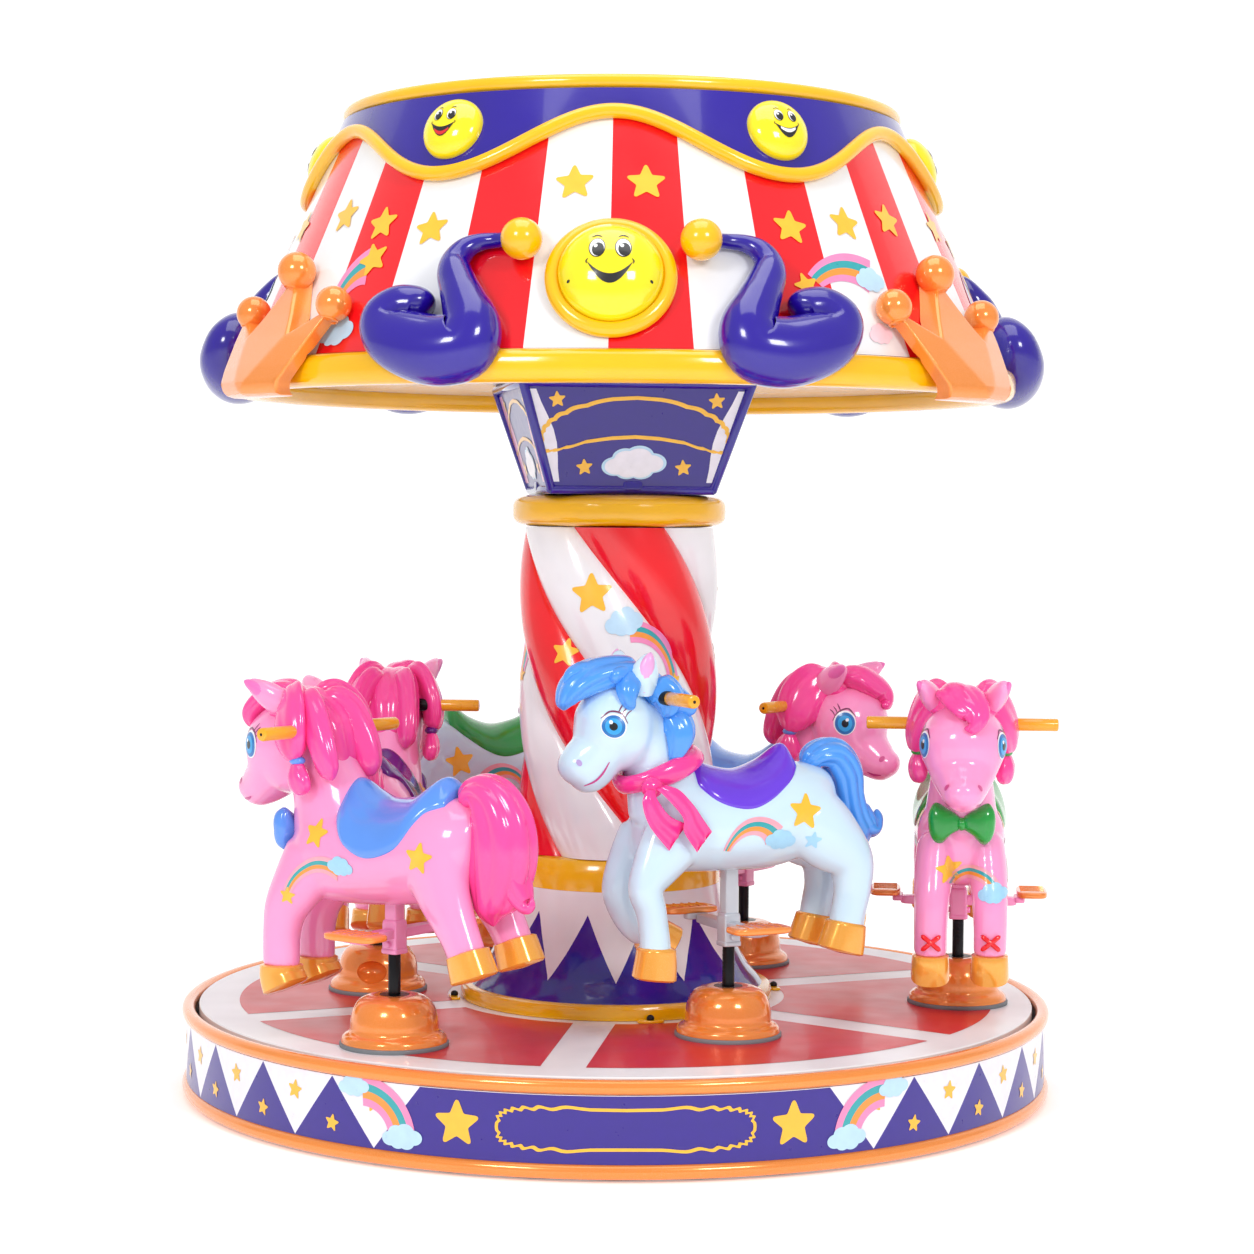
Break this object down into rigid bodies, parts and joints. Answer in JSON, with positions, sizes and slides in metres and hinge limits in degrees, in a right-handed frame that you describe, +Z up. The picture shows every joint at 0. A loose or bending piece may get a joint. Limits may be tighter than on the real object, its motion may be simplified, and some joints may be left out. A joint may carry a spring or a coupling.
{
  "type": "fairground carousel",
  "caption": "Children's carousel with a round skirted platform, a turning floor and twisted column, a striped canopy with lamps, and ride-on horses that rise and fall on posts.",
  "frame": {"origin": "centre of the platform's underside, on the ground and on the turning axis", "axes": "+Z up along the turning axis; -Y towards the middle of the skirt's front panel"},
  "size_m": [2.3028, 2.3034, 2.5733],
  "materials": {
    "yellow_gelcoat": "glossy gelcoat",
    "orange_pearl": "glossy pearl paint on gelcoat",
    "purple_gelcoat": "glossy gelcoat",
    "red_gelcoat": "glossy gelcoat with white lobes",
    "white_gelcoat": "glossy gelcoat",
    "printed_skirt": "gelcoat sheet with printed bunting",
    "black_steel": "black painted steel",
    "grey_steel": "painted steel",
    "yellow_lamp": "clear yellow lamp cover",
    "pink_gelcoat": "glossy gelcoat",
    "pale_blue_gelcoat": "glossy gelcoat",
    "mustard_grip": "soft grip"
  },
  "bodies": {
    "platform": {"base_frame": "grey_steel", "skirt_wall": "printed_skirt", "lower_rim": "orange_pearl", "upper_rim": "orange_pearl"},
    "rotor": {"bell_back_left": "orange_pearl", "bell_back_right": "orange_pearl", "bell_front": "orange_pearl", "bell_left": "orange_pearl", "bell_rear": "orange_pearl", "bell_right": "orange_pearl", "canopy_shell": "white_gelcoat", "ceiling": "white_gelcoat", "column_band": "orange_pearl", "column_collar": "yellow_gelcoat", "column_foot": "purple_gelcoat", "crown_1": "orange_pearl", "crown_2": "orange_pearl", "crown_3": "orange_pearl", "dome_lamp_1": "yellow_lamp", "dome_lamp_2": "yellow_lamp", "dome_lamp_3": "yellow_lamp", "eave_rim": "yellow_gelcoat", "fascia": "purple_gelcoat", "floor_disc": "white_gelcoat", "horn_1": "purple_gelcoat", "horn_2": "purple_gelcoat", "horn_3": "purple_gelcoat", "horn_4": "purple_gelcoat", "horn_5": "purple_gelcoat", "horn_6": "purple_gelcoat", "sign_box": "purple_gelcoat", "top_rim": "orange_pearl", "twisted_column": "red_gelcoat", "wave_trim": "yellow_gelcoat"},
    "rider_front": {"horse_front": "pale_blue_gelcoat", "handlebar_front": "mustard_grip", "carrier_front": "black_steel"},
    "rider_left": {"horse_left": "pink_gelcoat", "handlebar_left": "mustard_grip", "carrier_left": "black_steel"},
    "rider_right": {"horse_right": "pink_gelcoat", "handlebar_right": "mustard_grip", "carrier_right": "black_steel"},
    "rider_back_left": {"horse_back_left": "pink_gelcoat", "handlebar_back_left": "mustard_grip", "carrier_back_left": "black_steel"},
    "rider_back_right": {"horse_back_right": "pink_gelcoat", "handlebar_back_right": "mustard_grip", "carrier_back_right": "black_steel"},
    "rider_rear": {"horse_rear": "pale_blue_gelcoat", "handlebar_rear": "mustard_grip", "carrier_rear": "black_steel"}
  },
  "joints": [
    {"name": "carousel_spin", "type": "hinge", "parent": "platform", "child": "rotor", "pos_m": [0, 0, 0.206], "axis": [0, 0, 1], "continuous": true},
    {"name": "rise_front", "type": "slide", "parent": "rotor", "child": "rider_front", "axis": [0, 0, 1], "range_m": [-0.03, 0.06]},
    {"name": "rise_left", "type": "slide", "parent": "rotor", "child": "rider_left", "axis": [0, 0, 1], "range_m": [-0.03, 0.06]},
    {"name": "rise_right", "type": "slide", "parent": "rotor", "child": "rider_right", "axis": [0, 0, 1], "range_m": [-0.03, 0.06]},
    {"name": "rise_back_left", "type": "slide", "parent": "rotor", "child": "rider_back_left", "axis": [0, 0, 1], "range_m": [-0.03, 0.06]},
    {"name": "rise_back_right", "type": "slide", "parent": "rotor", "child": "rider_back_right", "axis": [0, 0, 1], "range_m": [-0.03, 0.06]},
    {"name": "rise_rear", "type": "slide", "parent": "rotor", "child": "rider_rear", "axis": [0, 0, 1], "range_m": [-0.03, 0.06]}
  ]
}
